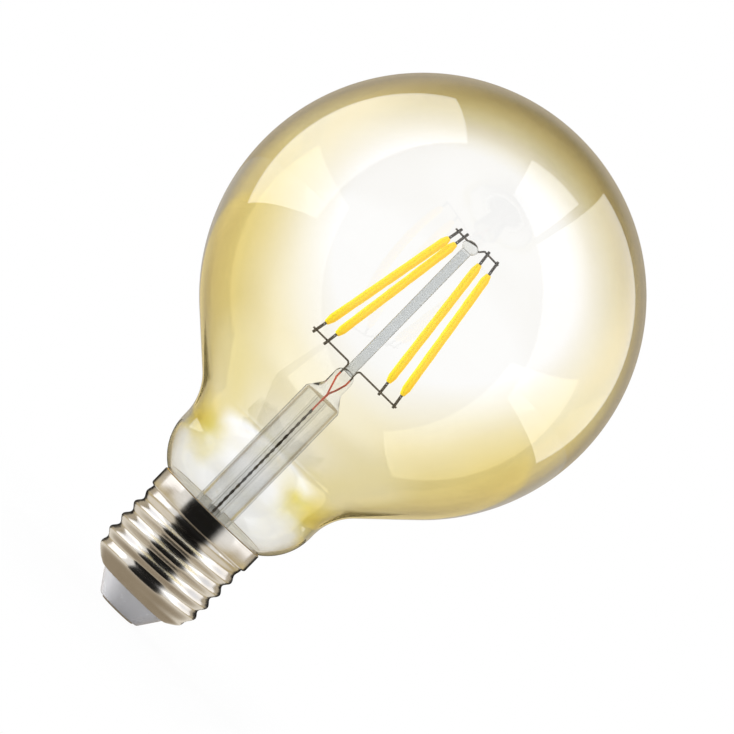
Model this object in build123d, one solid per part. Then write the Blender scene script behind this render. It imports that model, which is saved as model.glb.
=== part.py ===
from build123d import *
from math import atan, cos, degrees, radians, sin, sqrt, tan
import os

# LED filament globe bulb on a 27 mm Edison screw cap. Millimetres, +Z along the bulb's axis towards the
# globe, origin in the middle of the centre contact's lower face. Heights are measured from that face.

# Cap shell, rolled from thin plated sheet
thread_major_diameter = 26.4
thread_depth = 1.0
thread_pitch = 3.629
thread_phase = 80.0  # direction of the crest at the contact's height, degrees
thread_runout = 4.3  # height over which the thread dies out below the skirt
runout_end = 0.01  # eccentricity that is left where it has died out
shell_wall = 0.35
cap_height = 28.4
skirt_height = 4.4
skirt_flare = 0.2  # how far the skirt stands outside the thread's crest
skirt_fillet = 0.5
shoulder_height = 5.0
shoulder_corner_diameter = 18.4
shoulder_angle = 45.0
shoulder_fillet = 1.2
lip_width = 0.75

# Insulator and centre contact
contact_diameter = 8.6
contact_thickness = 0.6
contact_proud = 0.35
contact_fillet = 0.2
contact_fit = 0.05
shank_diameter = 2.8
shank_length = 3.0
insulator_tip_diameter = 10.4
insulator_tip_fillet = 0.6
insulator_floor = 2.0
insulator_wall = 1.6
collar_gap = 1.2  # between the insulator's collar and the inside of the thread
collar_rim = 0.6
collar_rim_height = 0.6
collar_seat_width = 1.8
board_seat_height = 10.0

# Driver in the cap
board_fit = 0.05
board_thickness = 1.0
pin_diameter = 0.5
pin_tail = 0.6  # length of a soldered pin below the board
capacitor_diameter = 5.0
capacitor_length = 7.0
capacitor_groove = 0.25
capacitor_groove_height = 1.4
capacitor_fillet = 0.4
capacitor_pin_spacing = 2.0
capacitor_place = (5.0, -3.2)
rectifier_body = (4.2, 3.4, 2.2)
rectifier_place = (-4.7, 3.8)
rectifier_legs = 2  # on each side
rectifier_leg_pitch = 2.5
chip_body = (3.0, 3.0, 1.1)
chip_place = (-5.0, -3.9)
chip_legs = 4
chip_leg_pitch = 0.65
leg_width = 0.35
leg_thickness = 0.2
leg_reach = 0.9
package_standoff = 0.1
sense_resistor_body = (2.0, 1.25, 0.55)
sense_resistor_place = (4.6, 4.8)
sense_resistor_pitch = 2.2
fuse_body_diameter = 2.4
fuse_body_length = 4.0
fuse_body_height = 4.8
fuse_end_fillet = 0.5
neutral_wire_diameter = 0.4
neutral_hole_reach = 8.0
neutral_clearance = 1.0  # below the stem's rim
neutral_slant = 2.2
neutral_turn_rise = 1.0  # above the skirt's base
neutral_step = 1.3
neutral_tail = 1.0
neutral_bend = 0.8

# Glass globe and neck
globe_diameter = 93.0
glass_wall = 0.8
throat_angle = 47.0  # of the cone between globe and neck, from the axis
throat_fillet = 11.7
neck_diameter = 36.8
neck_straight = 0.7
neck_shoulder_radius = 12.5
rim_gap = 0.2  # cement seen between the cap's rim and the glass
seal_gap = 0.65  # between the sealed neck and the inside of the thread
seal_fillet = 1.5
seal_depth = 7.4  # of the sealed end below the cap's rim

# Stem
stem_diameter = 9.2
stem_wall = 0.8
stem_length = 40.0  # from the sealed end to the press
pinch_width = 5.2
pinch_thickness = 3.2
pinch_taper = 3.4
pinch_blade = 3.0
pinch_crown = 1.9
exhaust_diameter = 3.2
exhaust_wall = 0.6
exhaust_tip_drop = 2.5  # below the sealed end
exhaust_tip_length = 2.4
exhaust_nub_radius = 0.6
exhaust_hole_diameter = 1.2
exhaust_hole_rise = 1.9
rod_diameter = 2.35
rod_socket = 1.6
bead_diameter = 3.8
bead_height = 2.8
bead_drop = 0.6  # of the bead's middle below the support wires

# Lead wires
lead_rod_gap = 0.13  # between the inner leads and the rod
lead_gap = 0.35  # between the outer leads and the exhaust tube
lead_turn = 35.0  # of the outer leads about the axis, from the Y axis
outer_lead_diameter = 0.4
seal_wire_diameter = 0.4
inner_lead_diameter = 0.42
lead_weld_depth = 1.5  # of the weld between seal wire and inner lead, below the crown
seal_wire_straight = 1.2
seal_wire_slant = 4.2
seal_wire_foot = 4.4  # straight run down to the outer lead
lead_rise = 1.3
lead_bend = 0.9
left_lead_reach = 14.2
right_lead_reach = 15.0
support_diameter = 0.42
support_overhang = 0.7
right_support_rise = 1.0
support_run = 0.4  # straight run of the right support outside the bead
support_slope = 1.0
support_bend = 0.5

# Filaments, numbered from left to right
filament_length = 38.0
coat_length = 31.2
coat_width = 1.75
coat_thickness = 1.3
coat_corner = 0.55
coat_point = 1.7  # length over which each end narrows
coat_point_share = 0.55  # of the section that is left at the very end
coat_end_fillet = 0.15
carrier_width = 0.8
carrier_thickness = 0.4
tab_width = 0.6
tab_thickness = 0.25
tab_grip = 1.2
tab_overlap = 0.6  # past the wire that it is welded to
tab_corner = 0.2
tab_hole_diameter = 0.3
tab_hole_gap = 0.5
chips_per_filament = 26
chip_length = 0.7
chip_width = 0.5
chip_thickness = 0.15
foot_reach = (-13.6, -9.5, 9.1, 14.1)
head_reach = (-5.2, -3.2, 4.1, 7.5)

# Sizes that follow from the ones above
crest_radius = thread_major_diameter / 2
mean_radius = crest_radius - thread_depth / 2
bore_radius = crest_radius - thread_depth - shell_wall
skirt_radius = crest_radius + skirt_flare
skirt_base = cap_height - skirt_height
lip_radius = shoulder_corner_diameter / 2 - lip_width
insulator_foot = contact_proud
collar_radius = bore_radius - collar_gap
board_radius = collar_radius - collar_rim - board_fit
board_top = board_seat_height + board_thickness
board_tail = board_seat_height - pin_tail

globe_radius = globe_diameter / 2
neck_radius = neck_diameter / 2
seal_height = cap_height - seal_depth
rim_radius = skirt_radius - shell_wall - rim_gap
neck_arc_centre = neck_radius - neck_shoulder_radius
neck_arc_rise = sqrt(neck_shoulder_radius**2 - (rim_radius - neck_arc_centre) ** 2)
neck_arc_height = cap_height + neck_arc_rise
throat_slope = tan(radians(throat_angle))
throat_height = neck_arc_height + neck_straight + throat_fillet * tan(radians(throat_angle / 2))
tangent_radius = globe_radius * cos(radians(throat_angle))
tangent_height = throat_height + (tangent_radius - neck_radius) / throat_slope
globe_height = tangent_height + globe_radius * sin(radians(throat_angle))
seal_radius = bore_radius - seal_gap

stem_top = seal_height + stem_length
exhaust_tip_height = seal_height - exhaust_tip_drop
blade_base = stem_top + pinch_taper
blade_top = blade_base + pinch_blade
crown_top = blade_top + pinch_crown
lead_x = rod_diameter / 2 + lead_rod_gap + inner_lead_diameter / 2
lead_circle = exhaust_diameter / 2 + lead_gap + outer_lead_diameter / 2
outer_lead_x = lead_circle * sin(radians(lead_turn))
outer_lead_y = lead_circle * cos(radians(lead_turn))
weld_height = crown_top - lead_weld_depth
seal_wire_bend_height = weld_height - seal_wire_straight
seal_wire_foot_height = seal_wire_bend_height - seal_wire_slant - seal_wire_foot
lead_height = crown_top + lead_rise
head_rise = (0, 0, right_support_rise, right_support_rise)
weld_span = filament_length - 2 * tab_overlap
cage_height = min(
    sqrt(weld_span**2 - (head - foot) ** 2) - rise
    for foot, head, rise in zip(foot_reach, head_reach, head_rise)
)
support_height = lead_height + cage_height
bead_middle = support_height - bead_drop


def turned(region):
    """A solid of revolution from a region drawn as radius and height."""
    return revolve(Plane.XZ * region, Axis.Z)


def round_corner(region, corner, radius):
    """The region with its corner nearest to the given point rounded."""
    return fillet(region.vertices().sort_by_distance(corner)[0], radius)


def rod(radius, low, high, x=0, y=0):
    """An upright round bar between two heights."""
    return Pos(x, y, low) * extrude(Circle(radius), high - low)


def wire(points, diameter, bend):
    """A bent round wire through the given points."""
    path = FilletPolyline(*points, radius=bend) if len(points) > 2 else Line(*points)
    return sweep((path ^ 0) * Circle(diameter / 2), path=path)


# Cap


def thread_body(radius):
    """The rolled thread as a filled body: a circle whose middle climbs a small helix, so that its edge moves
    in and out once a turn, and comes back to the axis under the skirt."""
    eccentricity = thread_depth / 2
    low = shoulder_height - shell_wall
    high = skirt_base + shell_wall
    turns_height = high - thread_runout - low
    start_angle = thread_phase + 360 * low / thread_pitch
    end_angle = start_angle + 360 * turns_height / thread_pitch
    closing = degrees(atan((eccentricity - runout_end) / thread_runout))
    turns = Pos(0, 0, low) * Rot(0, 0, start_angle) * Helix(thread_pitch, turns_height, eccentricity)
    runout = Helix(thread_pitch, thread_runout, eccentricity, cone_angle=-closing)
    path = Wire([turns, Pos(0, 0, low + turns_height) * Rot(0, 0, end_angle) * runout])
    return sweep(Pos(*(path @ 0)) * Circle(radius), path=path, normal=(0, 0, 1))


def shoulder_body(inset):
    """The space under the thread that the shell's lower shoulder encloses, inset by a wall."""
    angle = radians(shoulder_angle)
    floor = shoulder_height + inset
    corner = shoulder_corner_diameter / 2 + inset * tan(angle) - inset / cos(angle)
    reach = crest_radius + thread_depth
    top = skirt_base + shell_wall
    cone_top = floor + (reach - corner) / tan(angle)
    outline = Polyline((0, floor), (corner, floor), (reach, cone_top), (reach, top), (0, top), close=True)
    return turned(round_corner(make_face(outline), (corner, floor), shoulder_fillet - inset))


def skirt_body(inset):
    """The smooth collar above the thread, inset by a wall."""
    radius = skirt_radius - inset
    low = skirt_base + inset
    region = make_face(Polyline((0, low), (radius, low), (radius, cap_height), (0, cap_height), close=True))
    return turned(round_corner(region, (radius, low), skirt_fillet - inset))


def cap_inside():
    return (thread_body(mean_radius - shell_wall) & shoulder_body(shell_wall)) + skirt_body(shell_wall)


def cap_shell():
    outside = (thread_body(mean_radius) & shoulder_body(0)) + skirt_body(0)
    opening = rod(lip_radius, shoulder_height - shell_wall, shoulder_height + 2 * shell_wall)
    return outside - cap_inside() - opening


def insulator():
    """The moulded foot of the cap: a hollow cone below the shell, a flange inside it and a collar that
    carries the driver board."""
    tip = insulator_tip_diameter / 2
    lip_top = shoulder_height + shell_wall
    cone = make_face(
        Polyline(
            (0, insulator_foot),
            (tip, insulator_foot),
            (lip_radius, shoulder_height),
            (lip_radius, lip_top),
            (0, lip_top),
            close=True,
        )
    )
    foot = turned(round_corner(cone, (tip, insulator_foot), insulator_tip_fillet))
    collar = rod(collar_radius, lip_top, board_seat_height + collar_rim_height) & shoulder_body(shell_wall)
    floor = insulator_foot + insulator_floor
    slope = (lip_radius - tip) / (shoulder_height - insulator_foot)
    waist = lip_radius - insulator_wall
    seat_bore = collar_radius - collar_rim - collar_seat_width
    widening = shoulder_height + (seat_bore - waist) / tan(radians(shoulder_angle))
    rim_top = board_seat_height + collar_rim_height
    cavity = make_face(
        Polyline(
            (0, floor),
            (waist - slope * (shoulder_height - floor), floor),
            (waist, shoulder_height),
            (seat_bore, widening),
            (seat_bore, board_seat_height),
            (collar_radius - collar_rim, board_seat_height),
            (collar_radius - collar_rim, rim_top),
            (0, rim_top),
            close=True,
        )
    )
    recess = rod(contact_diameter / 2 + contact_fit, 0, contact_thickness)
    hole = rod(shank_diameter / 2 + contact_fit, 0, floor)
    return foot + collar - turned(cavity) - recess - hole


def centre_contact():
    """The contact disc with the hollow shank that the fuse's lead is soldered into."""
    disc = rod(contact_diameter / 2, 0, contact_thickness)
    disc = fillet(disc.edges().group_by(Axis.Z)[0], contact_fillet)
    shank = rod(shank_diameter / 2, contact_thickness, contact_thickness + shank_length)
    return disc + shank - rod(pin_diameter / 2, contact_thickness / 2, contact_thickness + shank_length)


def cement(envelope, neutral):
    """The ring of baked cement between the skirt and the neck."""
    ring = rod(skirt_radius - shell_wall, skirt_base + shell_wall, cap_height)
    ring = ring & skirt_body(shell_wall)
    return ring - rod(seal_radius, skirt_base, cap_height) - envelope - neutral


# Glass


def envelope_body(inset):
    """The blown globe, cone, neck and sealed neck as a filled body, inset by a wall."""
    angle = radians(throat_angle)
    globe = globe_radius - inset
    neck = neck_radius - inset
    seal = seal_radius - inset
    arc = neck_shoulder_radius - inset
    arc_low = neck_arc_height - sqrt(arc**2 - (seal - neck_arc_centre) ** 2)
    arc_turn = (seal - neck_arc_centre) / arc
    arc_middle = (
        neck_arc_centre + arc * sqrt((1 + arc_turn) / 2),
        neck_arc_height - arc * sqrt((1 - arc_turn) / 2),
    )
    touch = (globe * cos(angle), globe_height - globe * sin(angle))
    throat = touch[1] - (touch[0] - neck) / throat_slope
    top = globe_height + globe
    outline = Curve() + [
        Line((0, seal_height), (seal, seal_height)),
        Line((seal, seal_height), (seal, arc_low)),
        ThreePointArc((seal, arc_low), arc_middle, (neck, neck_arc_height)),
        Line((neck, neck_arc_height), (neck, throat)),
        Line((neck, throat), touch),
        ThreePointArc(touch, (globe, globe_height), (0, top)),
        Line((0, top), (0, seal_height)),
    ]
    region = make_face(outline)
    region = round_corner(region, (neck, throat), throat_fillet + inset)
    return turned(round_corner(region, (seal, arc_low), seal_fillet + inset))


def stem_flare(wires):
    """The stem tube: a trumpet that is fused to the end of the neck, a straight tube, and the press that
    closes it round the wires and the rod."""
    tube = stem_diameter / 2
    rim = seal_radius - glass_wall
    flare = rim - tube
    flare_top = seal_height + flare
    bend = sin(radians(45))
    outline = Curve() + [
        Line((tube, stem_top), (tube, flare_top)),
        ThreePointArc((tube, flare_top), (rim - flare * bend, flare_top - flare * bend), (rim, seal_height)),
        Line((rim, seal_height), (seal_radius, seal_height)),
        Line((seal_radius, seal_height), (seal_radius, seal_height - stem_wall)),
        Line((seal_radius, seal_height - stem_wall), (rim, seal_height - stem_wall)),
        ThreePointArc(
            (rim, seal_height - stem_wall),
            (rim - (flare + stem_wall) * bend, flare_top - (flare + stem_wall) * bend),
            (tube - stem_wall, flare_top),
        ),
        Line((tube - stem_wall, flare_top), (tube - stem_wall, stem_top)),
        Line((tube - stem_wall, stem_top), (tube, stem_top)),
    ]
    blade = Ellipse(pinch_width / 2, pinch_thickness / 2)
    taper = loft([Pos(0, 0, stem_top) * Circle(tube), Pos(0, 0, blade_base) * blade])
    press = Pos(0, 0, blade_base) * extrude(blade, pinch_blade)
    crown = scale(Sphere(1), by=(pinch_width / 2, pinch_thickness / 2, pinch_crown))
    hole = exhaust_hole_diameter / 2
    hole_height = stem_top + exhaust_hole_rise
    vent = rod(hole, stem_top, hole_height)
    vent += Pos(0, 0, hole_height) * Rot(-90, 0, 0) * extrude(Circle(hole), tube)
    vent += Pos(0, 0, hole_height) * Sphere(hole)
    return turned(make_face(outline)) + taper + press + Pos(0, 0, blade_top) * crown - vent - wires


def exhaust_tube():
    """The tube that the globe was filled through, melted shut at its lower end."""
    outer = exhaust_diameter / 2
    inner = outer - exhaust_wall
    neck = exhaust_tip_height + exhaust_tip_length
    nub = exhaust_tip_height + exhaust_nub_radius
    outline = Curve() + [
        Line((inner, stem_top), (outer, stem_top)),
        Line((outer, stem_top), (outer, neck)),
        Line((outer, neck), (exhaust_nub_radius, nub)),
        TangentArc((exhaust_nub_radius, nub), (0, exhaust_tip_height), tangent=(0, -1)),
        Line((0, exhaust_tip_height), (0, neck)),
        Line((0, neck), (inner, neck + inner)),
        Line((inner, neck + inner), (inner, stem_top)),
    ]
    return turned(make_face(outline))


def stem_rod():
    """The glass rod that carries the top supports in its melted bead, before the wires are cut out of it."""
    bead_radius = bead_diameter / 2
    bead = scale(Sphere(1), by=(bead_radius, bead_radius, bead_height / 2))
    return rod(rod_diameter / 2, crown_top - rod_socket, bead_middle) + Pos(0, 0, bead_middle) * bead


# Wires, with the left one of each pair at side -1 and the right one at side 1


def outer_lead(side):
    place = (side * outer_lead_x, side * outer_lead_y)
    return rod(outer_lead_diameter / 2, board_tail, seal_wire_foot_height, *place)


def seal_wire(side):
    """The copper-coated wire in the press, bent to pass the exhaust tube on its own side."""
    points = [
        (side * lead_x, 0, weld_height),
        (side * lead_x, 0, seal_wire_bend_height),
        (side * outer_lead_x, side * outer_lead_y, seal_wire_bend_height - seal_wire_slant),
        (side * outer_lead_x, side * outer_lead_y, seal_wire_foot_height),
    ]
    return wire(points, seal_wire_diameter, lead_bend)


def inner_lead(side):
    reach = left_lead_reach if side < 0 else right_lead_reach
    points = [
        (side * lead_x, 0, weld_height),
        (side * lead_x, 0, lead_height),
        (side * reach, 0, lead_height),
    ]
    return wire(points, inner_lead_diameter, lead_bend)


def left_support():
    """The wire over the two left filaments. It meets the right one in the bead, so that current passes."""
    tip = head_reach[0] - support_overhang
    return wire([(0, 0, support_height), (tip, 0, support_height)], support_diameter, support_bend)


def right_support():
    """The wire over the two right filaments, which steps up outside the bead."""
    step = bead_diameter / 2 + support_run
    upper = support_height + right_support_rise
    points = [
        (0, 0, support_height),
        (step, 0, support_height),
        (step + support_slope, 0, upper),
        (head_reach[3] + support_overhang, 0, upper),
    ]
    return wire(points, support_diameter, support_bend)


# Filaments


def filament_frame(index):
    """The filament's own frame: its middle at the origin, its length along Z and its width along X."""
    foot = Vector(foot_reach[index], -(inner_lead_diameter + tab_thickness) / 2, lead_height)
    head_height = support_height + head_rise[index]
    head = Vector(head_reach[index], -(support_diameter + tab_thickness) / 2, head_height)
    along = (head - foot).normalized()
    return Plane(origin=(foot + head) / 2, x_dir=Vector(0, 1, 0).cross(along), z_dir=along).location


def tab(end):
    """A metal end tab, gripped by the coat. End is -1 for the lower tab and 1 for the upper one."""
    inner = coat_length / 2 - tab_grip
    length = filament_length / 2 - inner
    plate = Box(tab_width, tab_thickness, length, align=(Align.CENTER, Align.CENTER, Align.MIN))
    corners = plate.edges().filter_by(Axis.Y).group_by(Axis.Z)[-1]
    plate = fillet(corners, tab_corner)
    hole = Pos(0, 0, tab_grip + tab_hole_gap) * Rot(90, 0, 0) * Cylinder(tab_hole_diameter / 2, tab_width)
    return Rot(0, 90 - 90 * end, 0) * Pos(0, 0, inner) * (plate - hole)


def chips():
    pitch = (coat_length - 2 * tab_grip) / chips_per_filament
    front = -(carrier_thickness + chip_thickness) / 2
    first = -pitch * (chips_per_filament - 1) / 2
    return [
        Pos(0, front, first + pitch * k) * Box(chip_width, chip_thickness, chip_length)
        for k in range(chips_per_filament)
    ]


def coat_section(share=1):
    return RectangleRounded(coat_width * share, coat_thickness * share, coat_corner * share)


def coat_bar():
    """The dipped coat as a filled body: an even bar whose ends narrow to blunt points."""
    end = coat_length / 2
    even = end - coat_point
    bar = extrude(coat_section(), even, both=True)
    point = coat_section(coat_point_share)
    for side in (-1, 1):
        bar += loft([Pos(0, 0, side * even) * coat_section(), Pos(0, 0, side * end) * point])
    rims = bar.edges().group_by(Axis.Z)
    return fillet(rims[0] + rims[-1], coat_end_fillet)


def filament(index):
    """One filament's pieces by name."""
    carrier = Box(carrier_width, carrier_thickness, coat_length - 2 * tab_grip)
    lower, upper, row = tab(-1), tab(1), chips()
    coat = coat_bar() - [carrier, lower, upper, *row]
    place = filament_frame(index)
    name = f"filament_{index + 1}"
    return {
        f"{name}_coat": place * coat,
        f"{name}_carrier": place * carrier,
        f"{name}_chips": Compound([place * chip for chip in row]),
        f"{name}_lower_tab": place * lower,
        f"{name}_upper_tab": place * upper,
    }


# Driver


def surface_package(body, legs, pitch):
    """A moulded package with bent legs along two of its sides, standing on the board."""
    length, width, height = body
    grounded = (Align.CENTER, Align.CENTER, Align.MIN)
    package = Pos(0, 0, package_standoff) * Box(length, width, height, align=grounded)
    knee = package_standoff + height / 2
    for side in (-1, 1):
        for k in range(legs):
            x = pitch * (k - (legs - 1) / 2)
            outer = side * (width / 2 + leg_reach / 2)
            arm = Pos(x, side * (width + leg_reach / 2) / 2, knee)
            package += arm * Box(leg_width, leg_reach / 2 + leg_thickness, leg_thickness, align=grounded)
            package += Pos(x, outer, 0) * Box(leg_width, leg_thickness, knee + leg_thickness, align=grounded)
            foot = Pos(x, side * (width / 2 + leg_reach * 3 / 4), 0)
            package += foot * Box(leg_width, leg_reach / 2, leg_thickness, align=grounded)
    return package


def on_board(place, piece):
    return Pos(place[0], place[1], board_top) * piece


def capacitor():
    """A radial can with a rolled groove near its base and two pins through the board."""
    can = capacitor_diameter / 2
    body = fillet(rod(can, 0, capacitor_length).edges().group_by(Axis.Z)[-1], capacitor_fillet)
    groove = Pos(0, 0, capacitor_groove_height) * Torus(can, capacitor_groove)
    tail = -board_thickness - pin_tail
    pins = [rod(pin_diameter / 2, tail, 0, side * capacitor_pin_spacing / 2) for side in (-1, 1)]
    return on_board(capacitor_place, body - groove + pins)


def sense_resistors():
    x, y = sense_resistor_place
    rows = (y - sense_resistor_pitch / 2, y + sense_resistor_pitch / 2)
    chip = Box(*sense_resistor_body, align=(Align.CENTER, Align.CENTER, Align.MIN))
    return Compound([on_board((x, row), chip) for row in rows])


def fuse_resistor():
    """The fuse that stands between the centre contact and the board, soldered by its two leads."""
    body = rod(fuse_body_diameter / 2, fuse_body_height, fuse_body_height + fuse_body_length)
    body = fillet(body.edges().filter_by(GeomType.CIRCLE), fuse_end_fillet)
    return body + rod(pin_diameter / 2, contact_thickness / 2, board_top + pin_tail)


def neutral_wire():
    """From the board, up past the sealed neck, to the inside of the skirt."""
    gap_middle = seal_radius + seal_gap / 2
    touch = skirt_radius - shell_wall - neutral_wire_diameter / 2
    gap_height = seal_height - stem_wall - neutral_clearance
    turn_height = skirt_base + neutral_turn_rise
    contact_height = turn_height + neutral_step
    points = [
        (0, neutral_hole_reach, board_tail),
        (0, neutral_hole_reach, gap_height - neutral_slant),
        (0, gap_middle, gap_height),
        (0, gap_middle, turn_height),
        (0, touch, contact_height),
        (0, touch, contact_height + neutral_tail),
    ]
    return wire(points, neutral_wire_diameter, neutral_bend)


def driver_board(pins):
    return rod(board_radius, board_seat_height, board_top) - pins


# The whole bulb, one entry for each node
sides = {"left": -1, "right": 1}
seal_wires = {f"seal_wire_{name}": seal_wire(side) for name, side in sides.items()}
inner_leads = {f"inner_lead_{name}": inner_lead(side) for name, side in sides.items()}
outer_leads = {f"outer_lead_{name}": outer_lead(side) for name, side in sides.items()}
supports = {"top_support_left": left_support(), "top_support_right": right_support()}
bare_rod = stem_rod()
envelope = envelope_body(0) - envelope_body(glass_wall)
neutral = neutral_wire()
fuse = fuse_resistor()
can = capacitor()

rectifier = surface_package(rectifier_body, rectifier_legs, rectifier_leg_pitch)

nodes = {
    "glass_envelope": envelope,
    "stem_flare": stem_flare([bare_rod, *seal_wires.values(), *inner_leads.values()]),
    "exhaust_tube": exhaust_tube(),
    "stem_rod": bare_rod - list(supports.values()),
    **outer_leads,
    **seal_wires,
    **inner_leads,
    **supports,
    "cap_shell": cap_shell(),
    "cap_insulator": insulator(),
    "centre_contact": centre_contact(),
    "cap_cement": cement(envelope_body(0), neutral),
    "driver_board": driver_board([*outer_leads.values(), neutral, fuse, can]),
    "smoothing_capacitor": can,
    "bridge_rectifier": on_board(rectifier_place, rectifier),
    "driver_chip": on_board(chip_place, surface_package(chip_body, chip_legs, chip_leg_pitch)),
    "sense_resistors": sense_resistors(),
    "fuse_resistor": fuse,
    "neutral_wire": neutral,
}
for index in range(len(foot_reach)):
    nodes.update(filament(index))

os.makedirs("parts", exist_ok=True)
for name, shape in nodes.items():
    export_step(shape, f"parts/{name}.step")
print(f"{len(nodes)} nodes, {globe_height + globe_radius:.1f} mm long, supports at {support_height:.1f} mm")
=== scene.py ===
# %% [markdown]
# # A gold-tinted LED filament bulb
# The frame holds every solid of the bulb as imported CAD. It stands upright on its centre contact, with +Z
# along its axis, and nothing in it is moved. Blender adds what the solids leave plain: blown glass, plating,
# phosphor, and a small studio.

# %% Load the frame
import math

import bmesh
import bpy
from mathutils import Matrix, Vector


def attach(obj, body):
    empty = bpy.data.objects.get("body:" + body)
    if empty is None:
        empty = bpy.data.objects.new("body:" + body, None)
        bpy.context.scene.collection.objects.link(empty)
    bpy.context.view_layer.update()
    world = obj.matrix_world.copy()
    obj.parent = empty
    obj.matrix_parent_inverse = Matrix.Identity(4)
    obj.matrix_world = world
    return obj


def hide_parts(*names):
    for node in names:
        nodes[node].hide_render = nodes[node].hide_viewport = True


MM = 0.001
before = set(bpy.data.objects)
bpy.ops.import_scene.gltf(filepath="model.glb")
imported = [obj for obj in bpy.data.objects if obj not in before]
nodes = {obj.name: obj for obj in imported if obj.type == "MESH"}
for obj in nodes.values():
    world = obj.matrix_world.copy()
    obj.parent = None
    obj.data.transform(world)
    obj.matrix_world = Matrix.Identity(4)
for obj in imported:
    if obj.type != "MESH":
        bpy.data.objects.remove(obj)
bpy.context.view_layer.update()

# %% [markdown]
# ## Camera
# The photograph is taken level with the bulb through a long lens, and the bulb leans to the right in it.
# Leaning the bulb would move the CAD, so the camera rolls about its own line of sight instead. The distance
# and the lens together give the scale, and the aim puts the globe's middle on its own pixel without any lens
# shift.

# %% Camera
PHOTO_PIXELS = 734
PIXELS_PER_MM = 4.805
GLOBE_PIXEL = (422.7, 296.6)
GLOBE_HEIGHT = 91.0
GLOBE_MIDDLE = Vector((0, 0, GLOBE_HEIGHT)) * MM
CAMERA_AZIMUTH = math.radians(-35)
CAMERA_RISE = math.radians(-0.6)
BULB_LEAN = math.radians(44.3)
CAMERA_DISTANCE = 0.9
SENSOR_MM = 36.0

to_camera = Vector(
    (
        math.sin(CAMERA_AZIMUTH) * math.cos(CAMERA_RISE),
        -math.cos(CAMERA_AZIMUTH) * math.cos(CAMERA_RISE),
        math.sin(CAMERA_RISE),
    )
)
level_right = Vector((math.cos(CAMERA_AZIMUTH), math.sin(CAMERA_AZIMUTH), 0))
level_up = to_camera.cross(level_right)
picture_right = level_right * math.cos(BULB_LEAN) + level_up * math.sin(BULB_LEAN)
picture_up = level_up * math.cos(BULB_LEAN) - level_right * math.sin(BULB_LEAN)
metres_per_pixel = MM / PIXELS_PER_MM
aim = GLOBE_MIDDLE - picture_right * (GLOBE_PIXEL[0] - PHOTO_PIXELS / 2) * metres_per_pixel
aim -= picture_up * (PHOTO_PIXELS / 2 - GLOBE_PIXEL[1]) * metres_per_pixel


def standing(x_axis, y_axis, z_axis, place):
    """The matrix of an object with these three axes at a place."""
    return Matrix.Translation(place) @ Matrix((x_axis, y_axis, z_axis)).transposed().to_4x4()


camera_data = bpy.data.cameras.new("photo_camera")
camera_data.sensor_width = SENSOR_MM
camera_data.lens = SENSOR_MM * CAMERA_DISTANCE / (PHOTO_PIXELS * metres_per_pixel)
camera = bpy.data.objects.new("photo_camera", camera_data)
camera_place = aim + to_camera * CAMERA_DISTANCE
camera.matrix_world = standing(picture_right, picture_up, to_camera, camera_place)
bpy.context.scene.collection.objects.link(camera)
bpy.context.scene.camera = camera
bpy.context.scene.view_settings.view_transform = "Standard"
print(f"lens {camera_data.lens:.0f} mm at {CAMERA_DISTANCE} m")

# %% [markdown]
# ## Node helpers
# Every finish below is a small node tree. Its nodes could be placed and linked one by one, but short helpers
# keep the trees readable. One adds a node with its values and links, one turns a screen colour into the
# linear colour that shaders use, and the others name the steps that come back in many trees.

# %% Node helpers


def linear(red, green, blue):
    """A screen colour from 0 to 255 as linear light."""
    shares = [c / 255 for c in (red, green, blue)]
    return tuple(s / 12.92 if s <= 0.04045 else ((s + 0.055) / 1.055) ** 2.4 for s in shares) + (1.0,)


def add(tree, kind, values=None, **settings):
    """A new node. Values set or link its inputs by name or number, settings set its own properties."""
    node = tree.nodes.new("ShaderNode" + kind)
    for name, value in settings.items():
        setattr(node, name, value)
    for key, value in (values or {}).items():
        if isinstance(value, bpy.types.NodeSocket):
            tree.links.new(value, node.inputs[key])
        else:
            node.inputs[key].default_value = value
    return node


def blend_colours(tree, share, first, second):
    """Mixes two colours or colour sockets by a share socket."""
    mix = add(tree, "Mix", {0: share, 6: first, 7: second}, data_type="RGBA")
    return mix.outputs[2]


def blend_screen(tree, share, first, second):
    """Mixes two screen colours by a share socket."""
    return blend_colours(tree, share, linear(*first), linear(*second))


def blend_shaders(tree, share, first, second):
    """Mixes two shader nodes by a share socket."""
    return add(tree, "MixShader", {0: share, 1: first.outputs[0], 2: second.outputs[0]})


def calculate(tree, operation, first, second=0.0, third=0.0):
    """One step of arithmetic on values or sockets."""
    return add(tree, "Math", {0: first, 1: second, 2: third}, operation=operation).outputs[0]


def spread(tree, value, low, high, to_low=0.0, to_high=1.0):
    """Maps a value smoothly from one range to another."""
    values = {0: value, 1: low, 2: high, 3: to_low, 4: to_high}
    return add(tree, "MapRange", values, interpolation_type="SMOOTHSTEP").outputs[0]


print("helpers for colours and numbers ready")

# %% Helpers for places and materials


def object_place(tree):
    """The piece's own coordinates, in metres."""
    return add(tree, "TexCoord").outputs["Object"]


def split(tree, vector):
    """The X, Y and Z of a vector."""
    return add(tree, "SeparateXYZ", {0: vector}).outputs


def axis_reach(tree, parts):
    """The distance from the bulb's axis, from the X and Y of a place."""
    squares = calculate(tree, "MULTIPLY", parts[0], parts[0])
    return calculate(tree, "SQRT", calculate(tree, "MULTIPLY_ADD", parts[1], parts[1], squares))


def share_towards(tree, vector, direction):
    """How far a vector reaches in a direction."""
    return add(tree, "VectorMath", {0: vector, 1: direction}, operation="DOT_PRODUCT").outputs["Value"]


def start_material(name):
    """An empty material and its node tree, with the output ready."""
    material = bpy.data.materials.new(name)
    material.use_nodes = True
    material.node_tree.nodes.clear()
    return material, material.node_tree, add(material.node_tree, "OutputMaterial")


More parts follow.
